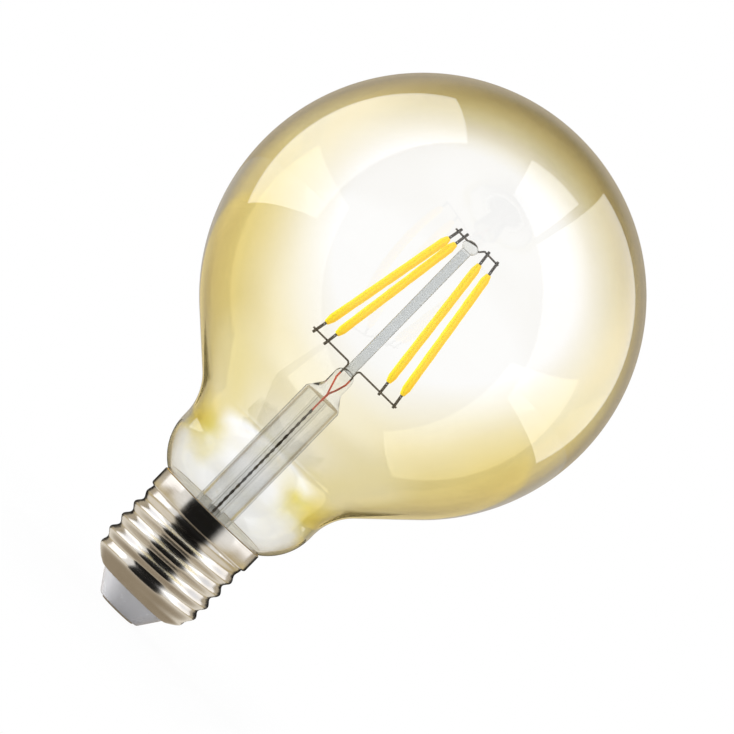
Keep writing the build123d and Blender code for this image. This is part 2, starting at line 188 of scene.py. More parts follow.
def show_shader(tree, output, shader):
    """Links a shader node to the material's output."""
    tree.links.new(shader.outputs[0], output.inputs[0])


def show_principled(tree, output, values):
    """The shader for all that isn't glass, with its values."""
    show_shader(tree, output, add(tree, "BsdfPrincipled", values))


print("helpers for places and materials ready")

# %% [markdown]
# ## Studio
# Glass and plating have hardly any colour of their own: they show what stands round them. A camera sees
# plain white all round, and so does a look straight through the glass. Mirrored rays see other walls: pale
# in front, tan at the sides, and a dark ceiling behind. These give the plating its warm grey and the glass
# its dark rim. Light Path tells the rays apart, so the soft light on plain surfaces keeps its own level.

# %% World
ROOM_LIGHT = 0.55
WHITE = (1, 1, 1, 1)
FRONT_WALL = (0.90, 0.90, 0.90, 1)
SIDE_WALLS = (0.46, 0.40, 0.30, 1)
DARK_CEILING = (0.12, 0.10, 0.07, 1)
FRONT_WALL_LEAN = 0.45
FRONT_WALL_EDGE = (0.15, 0.55)
CEILING_EDGE = (0.40, 0.70)
CEILING_FRONT = (-0.30, 0.05)


def seen_as_white(tree):
    """1 for rays from the camera and for what is seen straight through glass, 0 for light on a surface."""
    rays = add(tree, "LightPath").outputs
    return calculate(tree, "MAXIMUM", rays["Is Camera Ray"], rays["Is Transmission Ray"])


def seen_in_mirror(tree):
    """1 for rays that were mirrored by metal or glass on their way."""
    rays = add(tree, "LightPath").outputs
    mirrored = calculate(tree, "GREATER_THAN", rays["Glossy Depth"], 0.5)
    return calculate(tree, "MULTIPLY", mirrored, rays["Is Glossy Ray"])


world = bpy.data.worlds.new("white_room")
world.use_nodes = True
bpy.context.scene.world = world
room = world.node_tree
room.nodes.clear()
direction = add(room, "TexCoord").outputs["Generated"]
upwards = split(room, direction)[2]
forwards = share_towards(room, direction, to_camera)
above = calculate(room, "MAXIMUM", upwards, 0.0)
leaning = calculate(room, "MULTIPLY_ADD", above, FRONT_WALL_LEAN, forwards)
walls = blend_colours(room, spread(room, leaning, *FRONT_WALL_EDGE), SIDE_WALLS, FRONT_WALL)
behind = spread(room, forwards, *CEILING_FRONT, 1.0, 0.0)
ceiling = calculate(room, "MULTIPLY", spread(room, upwards, *CEILING_EDGE), behind)
mirror_colour = blend_colours(room, ceiling, walls, DARK_CEILING)
soft_light = add(room, "Background", {"Color": WHITE, "Strength": ROOM_LIGHT})
white_view = add(room, "Background", {"Color": WHITE, "Strength": 1.0})
mirror_view = add(room, "Background", {"Color": mirror_colour, "Strength": 1.0})
room_mix = blend_shaders(room, seen_as_white(room), soft_light, white_view)
room_mix = blend_shaders(room, seen_in_mirror(room), room_mix, mirror_view)
add(room, "OutputWorld", {"Surface": room_mix.outputs[0]})
print("white room, light on surfaces", ROOM_LIGHT)

# %% [markdown]
# The photograph shows three softboxes, as pale windows on the left, on the right and at the top of the
# globe. Each is an area lamp, because a lamp lights the bulb and is mirrored by it at once. Places and
# directions are given as a level camera sees them, so that a window can be moved to where the photograph has
# it. A small lamp beside the foot brightens the insulator's left edge. It is so near that mirrors and glass
# must not see it.

# %% Softboxes
SOFTBOX_COLOUR = (0.93, 0.98, 1.10)
FOOT_LAMP_COLOUR = (1.0, 1.0, 1.0)
LEFT_UP, LEFT_LOOK = (0.155, 0.973, -0.174), (0.982, -0.170, -0.076)
RIGHT_UP, RIGHT_LOOK = (-0.632, 0.775, 0.019), (-0.761, -0.624, 0.118)
# Each has its middle from the globe's in metres, its up and its look, and its width, height and brightness.
SOFTBOXES = {
    "left_softbox": ((-0.275, 0.163, -0.060), LEFT_UP, LEFT_LOOK, 0.308, 0.474, 1.0),
    "right_softbox": ((0.257, 0.125, -0.028), RIGHT_UP, RIGHT_LOOK, 0.420, 0.480, 0.82),
    "top_softbox": ((0.032, 0.418, 0.069), RIGHT_UP, RIGHT_LOOK, 0.236, 0.216, 0.90),
    "foot_lamp": ((-0.11, -0.080, -0.01), (0, 1, 0), (1, -0.05, 0.09), 0.06, 0.03, 26.0),
}


def studio_direction(rightwards, upwards, forwards):
    """A direction given as seen by a level camera: to the right, up, and towards the camera."""
    return level_right * rightwards + level_up * upwards + to_camera * forwards


def studio_stand(middle, upright, looks):
    """The matrix of something flat that stands at a place beside the globe and looks in a direction."""
    outwards = -studio_direction(*looks).normalized()
    side = studio_direction(*upright).cross(outwards).normalized()
    return standing(side, outwards.cross(side), outwards, GLOBE_MIDDLE + studio_direction(*middle))


def softbox(name, middle, upright, looks, width, height, brightness):
    """A rectangular lamp that looks equally bright from everywhere in front of it."""
    lamp = bpy.data.lights.new(name, "AREA")
    lamp.shape = "RECTANGLE"
    lamp.size = width
    lamp.size_y = height
    lamp.energy = brightness * math.pi * width * height
    lamp.color = SOFTBOX_COLOUR
    box = bpy.data.objects.new(name, lamp)
    box.matrix_world = studio_stand(middle, upright, looks)
    box.visible_camera = False
    bpy.context.scene.collection.objects.link(box)
    return box


lamps = {name: softbox(name, *numbers) for name, numbers in SOFTBOXES.items()}
foot_lamp = lamps["foot_lamp"]
foot_lamp.data.color = FOOT_LAMP_COLOUR
foot_lamp.visible_glossy = False
foot_lamp.visible_transmission = False
print("lamps:", ", ".join(lamps))

# %% [markdown]
# A dark strip runs down the middle of the cap, and dark lines mark its sides. Painted on, they would stay
# where they are when the bulb is seen from another side, so they are mirror images here. Two black flags
# stand close to the cap, one in front of it and one lying above its rim, and a wider card stands behind it.
# Only mirrors see them. The paper thins out towards its left and right, so that the strip ends softly: an
# attribute that each card carries runs from 0 on its left to 1 on its right.

# %% Black paper
PAPER_BLACKS = ((0.004, 0.004, 0.004, 1), (0.012, 0.011, 0.010, 1))


def fading_paper(name, left_fade, right_fade):
    """Black paper that thins out towards its left and right edges, given as shares of its width."""
    material, tree, output = start_material(name)
    grain = add(tree, "TexNoise", {"Vector": object_place(tree), "Scale": 1000.0})
    colour = blend_colours(tree, grain.outputs[0], *PAPER_BLACKS)
    paper = add(tree, "BsdfDiffuse", {"Color": colour})
    from_left = add(tree, "Attribute", attribute_name="from_left").outputs["Fac"]
    from_right = calculate(tree, "SUBTRACT", 1.0, from_left)
    left_share = spread(tree, from_left, 0.0, left_fade)
    body = calculate(tree, "MULTIPLY", left_share, spread(tree, from_right, 0.0, right_fade))
    gap = add(tree, "BsdfTransparent", {"Color": WHITE})
    show_shader(tree, output, blend_shaders(tree, body, gap, paper))
    return material


flag_paper = fading_paper("flag_paper", 0.08, 0.25)
rear_paper = fading_paper("rear_paper", 0.08, 0.08)
print("two kinds of black paper")

# %% Black cards
# Each has its middle from the globe's in metres, its up and its look, its width and height, and its paper.
CARDS = {
    "cap_flag": ((-0.0003, -0.0745, 0.023), (0, 1, 0), (0, 0, -1), 0.031, 0.033, flag_paper),
    "neck_flag": ((-0.0003, -0.0578, 0.0205), (0, 0, 1), (0, -1, 0), 0.031, 0.005, flag_paper),
    "rear_card": ((0, -0.074, -0.05), (0, 1, 0), (0, 0, 1), 0.105, 0.034, rear_paper),
}


def make_object(name, bm, material):
    """Turns a bmesh into an object of the scene."""
    mesh = bpy.data.meshes.new(name)
    bm.to_mesh(mesh)
    bm.free()
    mesh.materials.append(material)
    made = bpy.data.objects.new(name, mesh)
    bpy.context.scene.collection.objects.link(made)
    return made


def stage_card(name, middle, upright, looks, width, height, material):
    """A flat card that belongs to the studio and that only mirrors see."""
    bm = bmesh.new()
    bmesh.ops.create_grid(bm, x_segments=1, y_segments=1, size=0.5)
    bmesh.ops.scale(bm, vec=(width, height, 1), verts=bm.verts)
    bmesh.ops.transform(bm, matrix=studio_stand(middle, upright, looks), verts=bm.verts)
    from_left = bm.verts.layers.float.new("from_left")
    left, right = (pick(vert.co.x for vert in bm.verts) for pick in (min, max))
    for vert in bm.verts:
        vert[from_left] = (vert.co.x - left) / (right - left)
    card = make_object(name, bm, material)
    card.visible_camera = False
    card.visible_diffuse = False
    card.visible_transmission = False
    card.visible_shadow = False


for name, numbers in CARDS.items():
    stage_card(name, *numbers)
print("black cards:", ", ".join(CARDS))

# %% [markdown]
# The floor is a wide white sheet, a hair below the contact so that the two surfaces don't meet. A camera
# sees it almost as plain white paper, so that it melts into the white room, and a small share of its real
# shading is left so that the bulb keeps its shadow. Mirrored rays see rings of other colours: shaded close
# to the cap, pale round it, and gold further out and behind. They give the cap's shoulder and the lower half
# of the globe their warm tones.

# %% Floor paper
FLOOR_SHADE = 0.05
SHADE_END = (0.03, 0.16)
SHEET_WHITES = ((0.86, 0.86, 0.86, 1), (0.90, 0.90, 0.90, 1))
SHADED_RING = (0.33, 0.275, 0.20, 1)
PALE_RING, PALE_START = (0.80, 0.75, 0.66, 1), (0.013, 0.035)
GOLD_RING, GOLD_START = (0.54, 0.45, 0.27, 1), (0.05, 0.10)
GOLD_REAR, REAR_EDGE = (0.72, 0.60, 0.33, 1), (-0.25, -0.10)
FAR_RING, FAR_START = (0.50, 0.46, 0.40, 1), (0.40, 0.60)
FRONT_EDGE = (0.06, 0.20)
floor_paper, tree, output = start_material("floor_paper")
place = object_place(tree)
fibres = add(tree, "TexNoise", {"Vector": place, "Scale": 60.0, "Detail": 4.0})
sheet = add(tree, "BsdfDiffuse", {"Color": blend_colours(tree, fibres.outputs[0], *SHEET_WHITES)})
plain_white = add(tree, "Emission", {"Color": WHITE, "Strength": 1.0})
reach = add(tree, "VectorMath", {0: place}, operation="LENGTH").outputs["Value"]
in_front = share_towards(tree, place, to_camera)
mirrored = blend_colours(tree, spread(tree, reach, *PALE_START), SHADED_RING, PALE_RING)
mirrored = blend_colours(tree, spread(tree, reach, *GOLD_START), mirrored, GOLD_RING)
mirrored = blend_colours(tree, spread(tree, in_front, *REAR_EDGE), GOLD_REAR, mirrored)
mirrored = blend_colours(tree, spread(tree, reach, *FAR_START), mirrored, FAR_RING)
mirrored = blend_colours(tree, spread(tree, in_front, *FRONT_EDGE), mirrored, FRONT_WALL)
in_mirror = add(tree, "Emission", {"Color": mirrored, "Strength": 1.0})
shade = spread(tree, reach, *SHADE_END, FLOOR_SHADE, 0.0)
share = calculate(tree, "MULTIPLY", seen_as_white(tree), calculate(tree, "SUBTRACT", 1.0, shade))
floor_mix = blend_shaders(tree, share, sheet, plain_white)
show_shader(tree, output, blend_shaders(tree, seen_in_mirror(tree), floor_mix, in_mirror))
print("floor paper, share of its own shading", FLOOR_SHADE)

# %% Floor
FLOOR_GAP = 0.05 * MM
FLOOR_REACH = 8.0
bm = bmesh.new()
below = Matrix.Translation((0, 0, -FLOOR_GAP))
bmesh.ops.create_grid(bm, x_segments=1, y_segments=1, size=FLOOR_REACH, matrix=below)
floor = make_object("studio_floor", bm, floor_paper)
print(f"floor {FLOOR_GAP / MM:.2f} mm below the contact")

# %% [markdown]
# ## Shared effects
# Three effects come back in many finishes. Cloudiness is a soft noise that keeps any colour from being flat.
# Drawn lines are the streaks that a die leaves along wire and tube. Turned lines run round the bulb's axis,
# as rolling and polishing leave them on the cap. Each is a node group that puts out a mask, and each finish
# gives it its own scale.

# %% Cloudiness


def start_group(name, inputs):
    """A node group with number inputs, one Mask output and the piece's own coordinates ready."""
    group = bpy.data.node_groups.new(name, "ShaderNodeTree")
    for label, default in inputs.items():
        socket = group.interface.new_socket(label, in_out="INPUT", socket_type="NodeSocketFloat")
        socket.default_value = default
    group.interface.new_socket("Mask", in_out="OUTPUT", socket_type="NodeSocketFloat")
    entry = group.nodes.new("NodeGroupInput")
    leave = group.nodes.new("NodeGroupOutput")
    return group, entry.outputs, leave.inputs["Mask"], object_place(group)


cloudiness, given, mask, place = start_group("cloudiness", {"Scale": 300.0, "Contrast": 0.3})
noise = add(cloudiness, "TexNoise", {"Vector": place, "Scale": given["Scale"], "Detail": 4.0})
low = calculate(cloudiness, "SUBTRACT", 0.5, given["Contrast"])
high = calculate(cloudiness, "ADD", 0.5, given["Contrast"])
cloudiness.links.new(spread(cloudiness, noise.outputs[0], low, high), mask)
print("effect:", cloudiness.name)

# %% Drawn and turned lines


def streak_mask(group, across, scale, detail, mask):
    """Noise in coordinates that were squeezed in one direction, which draws it out to lines there."""
    stretched = add(group, "CombineXYZ", {0: across[0], 1: across[1], 2: across[2]}).outputs[0]
    noise = add(group, "TexNoise", {"Vector": stretched, "Scale": scale, "Detail": detail})
    group.links.new(spread(group, noise.outputs[0], 0.3, 0.7), mask)


drawn_lines, given, mask, place = start_group("drawn_lines", {"Scale": 900.0, "Stretch": 0.02})
parts = split(drawn_lines, place)
along = calculate(drawn_lines, "MULTIPLY", parts[2], given["Stretch"])
streak_mask(drawn_lines, (parts[0], parts[1], along), given["Scale"], 3.0, mask)

turned_lines, given, mask, place = start_group("turned_lines", {"Scale": 2500.0, "Stretch": 0.01})
parts = split(turned_lines, place)
level = calculate(turned_lines, "ADD", parts[2], axis_reach(turned_lines, parts))
round_x = calculate(turned_lines, "MULTIPLY", parts[0], given["Stretch"])
round_y = calculate(turned_lines, "MULTIPLY", parts[1], given["Stretch"])
streak_mask(turned_lines, (round_x, round_y, level), given["Scale"], 2.0, mask)
print("effects:", drawn_lines.name, turned_lines.name)

# %% Placing an effect


def place_group(tree, group, **values):
    """Places a node group in a material with its own values and returns its outputs."""
    node = tree.nodes.new("ShaderNodeGroup")
    node.node_tree = group
    for name, value in values.items():
        node.inputs[name].default_value = value
    return node.outputs


def effect(tree, group, **values):
    """The mask of a shared effect."""
    return place_group(tree, group, **values)["Mask"]


def surface_bump(tree, height, strength, depth):
    """A normal from a height mask. Depth is in millimetres."""
    bump = add(tree, "Bump", {"Height": height, "Strength": strength, "Distance": depth * MM})
    return bump.outputs[0]


print("effects can be placed")

# %% [markdown]
# ## Solid finishes
# Metals, wires, mouldings and coats share one recipe: two near colours mixed by a mask, a roughness that
# follows the same mask, and a slight bump. One function builds it, and each finish is one line with its own
# colours. A line names the effect and its scale, the two colours, the range of roughness, the bump's
# strength and depth, and, where there is any, the share of metal and of a clear coat.

# %% Solid finishes


def solid_finish(name, group, scale, first, second, roughness, bump, metallic=0.0, coat=0.0):
    """A material whose colour and roughness vary with one shared effect."""
    material, tree, output = start_material(name)
    mask = effect(tree, group, Scale=scale)
    values = {
        "Base Color": blend_screen(tree, mask, first, second),
        "Roughness": spread(tree, mask, 0.0, 1.0, *roughness),
        "Metallic": metallic,
        "Coat Weight": coat,
        "Normal": surface_bump(tree, mask, *bump),
    }
    show_principled(tree, output, values)
    return material


FINISHES = {
    "nickel_wire": (drawn_lines, 4000.0, (70, 64, 58), (104, 96, 88), (0.28, 0.42), (0.15, 0.01), 1.0),
    "copper_wire": (drawn_lines, 4000.0, (196, 58, 34), (232, 108, 74), (0.25, 0.40), (0.15, 0.01), 1.0),
    "tinned_wire": (drawn_lines, 4000.0, (38, 32, 28), (60, 52, 45), (0.35, 0.5), (0.15, 0.01), 0.6),
    "tab_metal": (cloudiness, 2500.0, (58, 54, 50), (92, 86, 78), (0.30, 0.48), (0.2, 0.01), 1.0),
    "carrier": (cloudiness, 1800.0, (232, 226, 206), (246, 242, 228), (0.4, 0.55), (0.2, 0.01)),
    "led_chip": (cloudiness, 4000.0, (60, 80, 150), (90, 120, 190), (0.12, 0.25), (0.1, 0.005)),
    "contact_plate": (turned_lines, 3000.0, (176, 170, 158), (205, 199, 186), (0.22, 0.38), (0.3, 0.01), 1.0),
    "board": (cloudiness, 500.0, (22, 84, 48), (36, 110, 66), (0.3, 0.42), (0.15, 0.02), 0.0, 0.3),
    "can": (turned_lines, 1800.0, (30, 34, 48), (46, 52, 70), (0.28, 0.40), (0.2, 0.02), 0.0, 0.2),
    "black_package": (cloudiness, 3000.0, (20, 20, 22), (38, 38, 40), (0.5, 0.65), (0.5, 0.02)),
    "resistor_body": (cloudiness, 1500.0, (66, 108, 118), (94, 140, 148), (0.35, 0.5), (0.3, 0.02)),
}
finish = {slot: solid_finish(slot + "_finish", *recipe) for slot, recipe in FINISHES.items()}
print("solid finishes:", ", ".join(finish))

# %% [markdown]
# The slot that the record gives each CAD node names its finish, so the nodes that stay take their materials
# from one loop. Pieces that are drawn anew below take theirs as they are made.

# %% Dress the CAD nodes
dressed = [node for node in nodes.values() if node.data.materials[0].name in finish]
for node in dressed:
    slot = node.data.materials[0].name
    node.data.materials.clear()
    node.data.materials.append(finish[slot])
print("finishes on", len(dressed), "CAD nodes")

# %% [markdown]
# ## Drawing with a lathe
# Most of the bulb is round: glass is blown and spun, the cap is drawn and rolled. Each such piece could come
# from a ready cylinder or sphere, but a profile that is spun about the axis keeps true fillets and wall
# thickness. A profile starts as one vertex. Extruding it draws a straight line, and spinning it about a
# point in the profile's plane draws an arc. A full spin about Z then closes the piece.

# %% Drawing a profile


def profile_point(bm, radius, height):
    """The first vertex of a profile, in millimetres."""
    return bm.verts.new((radius * MM, 0, height * MM))


def draw_line(bm, last, radius, height):
    """Extrudes the profile's last vertex to a new place."""
    new = bmesh.ops.extrude_vert_indiv(bm, verts=[last])["verts"][0]
    new.co = (radius * MM, 0, height * MM)
    return new


def draw_lines(bm, last, places):
    """Extrudes the profile's last vertex through a list of radii and heights."""
    for radius, height in places:
        last = draw_line(bm, last, radius, height)
    return last


def draw_arc(bm, last, centre, turn, steps):
    """Spins the profile's last vertex about a centre, anticlockwise for a positive turn in degrees."""
    spun = bmesh.ops.spin(
        bm,
        geom=[last],
        cent=(centre[0] * MM, 0, centre[1] * MM),
        axis=(0, -1, 0),
        angle=math.radians(turn),
        steps=steps,
    )
    return [g for g in spun["geom_last"] if isinstance(g, bmesh.types.BMVert)][0]


def close_profile(bm, last):
    """Joins the profile's last vertex to its first one."""
    bm.edges.new((last, bm.verts[:][0]))


print("profiles can be drawn")

# %% Turning and finishing a piece
SAME_PLACE = 1e-6
NO_LENGTH = 1e-7


def close_seams(bm):
    """Merges what lies in one place, such as a seam or a pole."""
    bmesh.ops.remove_doubles(bm, verts=bm.verts, dist=SAME_PLACE)
    bmesh.ops.dissolve_degenerate(bm, edges=bm.edges, dist=NO_LENGTH)


def turn_on_lathe(bm, segments):
    """Spins the whole profile once about the bulb's axis and closes its seam and poles."""
    bmesh.ops.spin(
        bm,
        geom=bm.verts[:] + bm.edges[:],
        cent=(0, 0, 0),
        axis=(0, 0, 1),
        angle=2 * math.pi,
        steps=segments,
        use_merge=True,
    )
    close_seams(bm)


def finish_piece(name, bm, material, slot, *stands_for, crease=40):
    """Turns a bmesh into a piece that rides on the frame and stands for CAD nodes."""
    bmesh.ops.recalc_face_normals(bm, faces=bm.faces)
    made = make_object(name, bm, material)
    made.data.shade_smooth()
    made.data.set_sharp_from_angle(angle=math.radians(crease))
    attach(made, "root")
    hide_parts(*stands_for)
    print(f"{name}: {len(made.data.polygons)} faces")


print("pieces can be turned")

# %% [markdown]
# ## Gold glass
# The globe is clear glass with a thin gold coat that was fired on. Looking straight through it the coat is
# almost clear, and towards the rim the line of sight passes through more of it, so the colour deepens: Layer
# Weight gives that share. The coat ends in a ragged edge in the neck, with darker pools just above the edge.
# Round the dome its rim is painted brown, most at the crown: painted shade that darkens the globe's upper
# rim.
# A node group finds these places by height and noise, and the colours follow after it.

# %% Places in the gold coat
EDGE_WANDER = 12
COAT_EDGE = (40.5, 48)
POOL_START = (40, 45)
POOL_END = (46, 54)
POOL_GAPS = (0.34, 0.60)
THROAT_END = (50, 66)
DOME_START = (75, 112)
CROWN_START = (95, 125)
gold_coat = bpy.data.node_groups.new("gold_coat", "ShaderNodeTree")
for label in ("Gold", "Pool", "Throat", "Dome", "Crown", "Ripple"):
    gold_coat.interface.new_socket(label, in_out="OUTPUT", socket_type="NodeSocketFloat")
place = object_place(gold_coat)
height = split(gold_coat, place)[2]


def coat_noise(scale, detail):
    """Noise over the coat."""
    return add(gold_coat, "TexNoise", {"Vector": place, "Scale": scale, "Detail": detail}).outputs[0]


def coat_step(value, heights, *shares):
    """A soft step between two heights in millimetres."""
    return spread(gold_coat, value, heights[0] * MM, heights[1] * MM, *shares)


edge = calculate(gold_coat, "MULTIPLY_ADD", coat_noise(90.0, 2.0), EDGE_WANDER * MM, height)
band = calculate(gold_coat, "MULTIPLY", coat_step(edge, POOL_START), coat_step(edge, POOL_END, 1.0, 0.0))
pooled = spread(gold_coat, coat_noise(55.0, 1.0), *POOL_GAPS)
coat_places = {
    "Gold": coat_step(edge, COAT_EDGE),
    "Pool": calculate(gold_coat, "MULTIPLY", band, pooled),
    "Throat": coat_step(height, THROAT_END, 1.0, 0.0),
    "Dome": coat_step(height, DOME_START),
    "Crown": coat_step(height, CROWN_START),
    "Ripple": coat_noise(28.0, 2.0),
}
leave = gold_coat.nodes.new("NodeGroupOutput")
for label, mask in coat_places.items():
    gold_coat.links.new(mask, leave.inputs[label])
print("places in the gold coat:", ", ".join(coat_places))

# %% [markdown]
# The colour of the coat is mixed in three steps: from nearly clear to gold towards the rim, to a painted
# brown shade at the very edge of the dome, and to strong yellow in the pools. The throat's gold starts later,
# because the coat is thin there. Lamps have to reach the filaments, so rays that ask for shadow pass through
# a tinted Transparent shader.

# %% Gold glass finish
CLEAR = (0.92, 0.92, 0.905, 1)
GOLD_FACE = (1.0, 0.998, 0.99, 1)
GOLD_RIM = (0.86, 0.71, 0.20, 1)
# The next colour is painted shade for the rim of the dome.
PAINTED_DARK_RIM = (0.70, 0.58, 0.26, 1)
GOLD_POOL = (0.74, 0.62, 0.03, 1)
GOLD_SHADOW = (0.97, 0.95, 0.88, 1)
RAMP_START, RAMP_LENGTH = 0.07, 0.50
DOME_DELAY = 0.20
THROAT_DELAY, THROAT_HASTE = 0.20, -0.10
DARK_RIM_START, DARK_RIM_LENGTH = 0.70, 0.30
CROWN_HASTE = -0.31
POOL_RAMP = (0.03, 0.20)
GLOSS_RAMP = (0.15, 0.40)


def glass_shader(tree, output, values, shadow_colour):
    """Refracting glass that lets the light of lamps through."""
    glass = add(tree, "BsdfPrincipled", {"Transmission Weight": 1.0, "IOR": 1.5, **values})
    through = add(tree, "BsdfTransparent", {"Color": shadow_colour})
    is_shadow = add(tree, "LightPath").outputs["Is Shadow Ray"]
    show_shader(tree, output, blend_shaders(tree, is_shadow, glass, through))


gold_glass, tree, output = start_material("gold_glass")
coat = place_group(tree, gold_coat)
facing = add(tree, "LayerWeight", {"Blend": 0.5}).outputs["Facing"]
ramp_start = calculate(tree, "MULTIPLY_ADD", coat["Dome"], DOME_DELAY, RAMP_START)
ramp_end = calculate(tree, "ADD", ramp_start, RAMP_LENGTH)
ramp_end = calculate(tree, "MULTIPLY_ADD", coat["Throat"], THROAT_HASTE, ramp_end)
ramp_start = calculate(tree, "MULTIPLY_ADD", coat["Throat"], THROAT_DELAY, ramp_start)
ramp = {0: facing, 1: ramp_start, 2: ramp_end, 3: 1.0, 4: 0.0}
centre_share = add(tree, "MapRange", ramp).outputs[0]
minus_centre = calculate(tree, "MULTIPLY", centre_share, -1.0)
rim_share = calculate(tree, "MULTIPLY_ADD", centre_share, minus_centre, 1.0)
rim_share = calculate(tree, "MULTIPLY", rim_share, spread(tree, coat["Ripple"], 0.2, 0.8, 0.75, 1.0))
gold = blend_colours(tree, rim_share, GOLD_FACE, GOLD_RIM)
# Painted shade: the dome's rim turns brown, starting earlier towards the crown.
dark_rim_start = calculate(tree, "MULTIPLY_ADD", coat["Crown"], CROWN_HASTE, DARK_RIM_START)
dark_rim_end = calculate(tree, "ADD", dark_rim_start, DARK_RIM_LENGTH)
dark_rim_share = calculate(tree, "MULTIPLY", spread(tree, facing, dark_rim_start, dark_rim_end), coat["Dome"])
gold = blend_colours(tree, dark_rim_share, gold, PAINTED_DARK_RIM)
pool_share = calculate(tree, "MULTIPLY", coat["Pool"], spread(tree, facing, *POOL_RAMP))
gold = blend_colours(tree, pool_share, gold, GOLD_POOL)
values = {
    "Base Color": blend_colours(tree, coat["Gold"], CLEAR, gold),
    "Roughness": 0.0,
    "Coat Weight": calculate(tree, "MULTIPLY", coat["Gold"], spread(tree, facing, *GLOSS_RAMP)),
    "Coat Roughness": 0.0,
    "Coat IOR": 1.8,
    "Normal": surface_bump(tree, coat["Ripple"], 0.08, 0.6),
}
glass_shader(tree, output, values, GOLD_SHADOW)
print("gold glass finish")

# %% [markdown]
# The globe and its neck are one blown piece, 0.8 mm thick. The outer and the inner profile are the same
# chain of arcs, the inner one inset by the wall, and they are joined at the sealed end. One spin closes both
# walls.

# %% Globe
GLOBE_RADIUS = 46.5
GLASS_WALL = 0.8
THROAT_TURN = 47.0
THROAT_MIDDLE = (30.1, 39.49)
THROAT_RADIUS = 11.7
SHOULDER_MIDDLE = (5.9, 38.79)
SHOULDER_RADIUS = 12.5
SHOULDER_TURN = 60.95
SEAL_MIDDLE = (12.7, 26.55)
SEAL_RADIUS = 11.2
SEAL_END = 21.0


def globe_profile(bm, inset):
    """One wall of the globe, from the pole through the throat and the shoulder to the sealed end."""
    last = profile_point(bm, 0, GLOBE_HEIGHT + GLOBE_RADIUS - inset)
    last = draw_arc(bm, last, (0, GLOBE_HEIGHT), -(90 + THROAT_TURN), 96)
    throat = math.radians(180 - THROAT_TURN)
    curve = THROAT_RADIUS + inset
    throat_top = (THROAT_MIDDLE[0] + curve * math.cos(throat), THROAT_MIDDLE[1] + curve * math.sin(throat))
    last = draw_line(bm, last, *throat_top)
    last = draw_arc(bm, last, THROAT_MIDDLE, THROAT_TURN, 24)
    last = draw_line(bm, last, SHOULDER_MIDDLE[0] + SHOULDER_RADIUS - inset, SHOULDER_MIDDLE[1])
    last = draw_arc(bm, last, SHOULDER_MIDDLE, -SHOULDER_TURN, 20)
    last = draw_arc(bm, last, SEAL_MIDDLE, SHOULDER_TURN, 8)
    return draw_line(bm, last, SEAL_RADIUS - inset, SEAL_END)


bm = bmesh.new()
bm.edges.new((globe_profile(bm, 0), globe_profile(bm, GLASS_WALL)))
turn_on_lathe(bm, 192)
finish_piece("globe_glass", bm, gold_glass, "amber_glass", "glass_envelope")

# %% [markdown]
# ## Stem
# The tubes and the rod inside the globe are clear glass that was drawn, which leaves faint streaks along it.
# The tubes bend light less than real glass here, because the photograph shows their edges as thin pale
# lines. Each piece is painted a little darker towards its edges as painted shade, the rod most. The rod is
# slightly frosted, and its upper end was melted to a clear, smooth bead, whose outline is painted shade too.

# %% Clear glass finishes
STREAK_GREY = (170, 175, 178)
# The bead's second colour is painted shade that darkens its outline.
BEAD_FACE, BEAD_SHADED_EDGE = (236, 237, 235), (110, 106, 98)
MELT_LENGTH = 0.8
CLEAR_SHADOW = (0.94, 0.95, 0.95, 1)


def drawn_glass(name, face, edge, ior=1.5, roughness=0.0, clear_above=None):
    """Clear glass drawn as tube or rod, with faint streaks along it and a darker colour at its edges that is
    painted shade. Above a given height it was melted, and is clear and smooth there, with painted dark edges
    of its own."""
    material, tree, output = start_material(name)
    streaks = effect(tree, drawn_lines, Scale=700.0, Stretch=0.03)
    facing = add(tree, "LayerWeight", {"Blend": 0.5}).outputs["Facing"]
    # Painted shade: the colour darkens towards the edges.
    tint = blend_screen(tree, spread(tree, facing, 0.25, 0.85), face, edge)
    tint = blend_colours(tree, calculate(tree, "MULTIPLY", streaks, 0.10), tint, linear(*STREAK_GREY))
    frost = spread(tree, streaks, 0.0, 1.0, roughness, roughness * 1.3)
    if clear_above:
        height = split(tree, object_place(tree))[2]
        melted = spread(tree, height, clear_above * MM, (clear_above + MELT_LENGTH) * MM)
        beaded = blend_screen(tree, spread(tree, facing, 0.25, 0.90), BEAD_FACE, BEAD_SHADED_EDGE)
        tint = blend_colours(tree, melted, tint, beaded)
        frost = calculate(tree, "MULTIPLY", frost, calculate(tree, "SUBTRACT", 1.0, melted))
    bump = surface_bump(tree, streaks, 0.12, 0.05)
    values = {"Base Color": tint, "Roughness": frost, "IOR": ior, "Normal": bump}
    glass_shader(tree, output, values, CLEAR_SHADOW)
    return material


# The second colour of each is painted shade at the edges, darkest on the rod.
tube_glass = drawn_glass("tube_glass_finish", (240, 240, 239), (220, 220, 219), ior=1.12)
exhaust_glass = drawn_glass("exhaust_glass_finish", (250, 250, 250), (226, 227, 228), ior=1.08)
rod_glass = drawn_glass("rod_glass_finish", (205, 209, 210), (86, 78, 68), roughness=0.22, clear_above=103.4)
print("clear glass for the tubes, frosted glass for the rod")

# %% [markdown]
# Inside the neck stands the stem: a tube that flares out like a trumpet, is fused to the end of the neck,
# and was pressed flat at its top while hot, round the wires. The trumpet and the tube are turned. The press
# isn't round, so the turned tube's open ring is grown upwards, ring by ring, and squeezed into an ellipse on
# the way.

# %% Growing rings


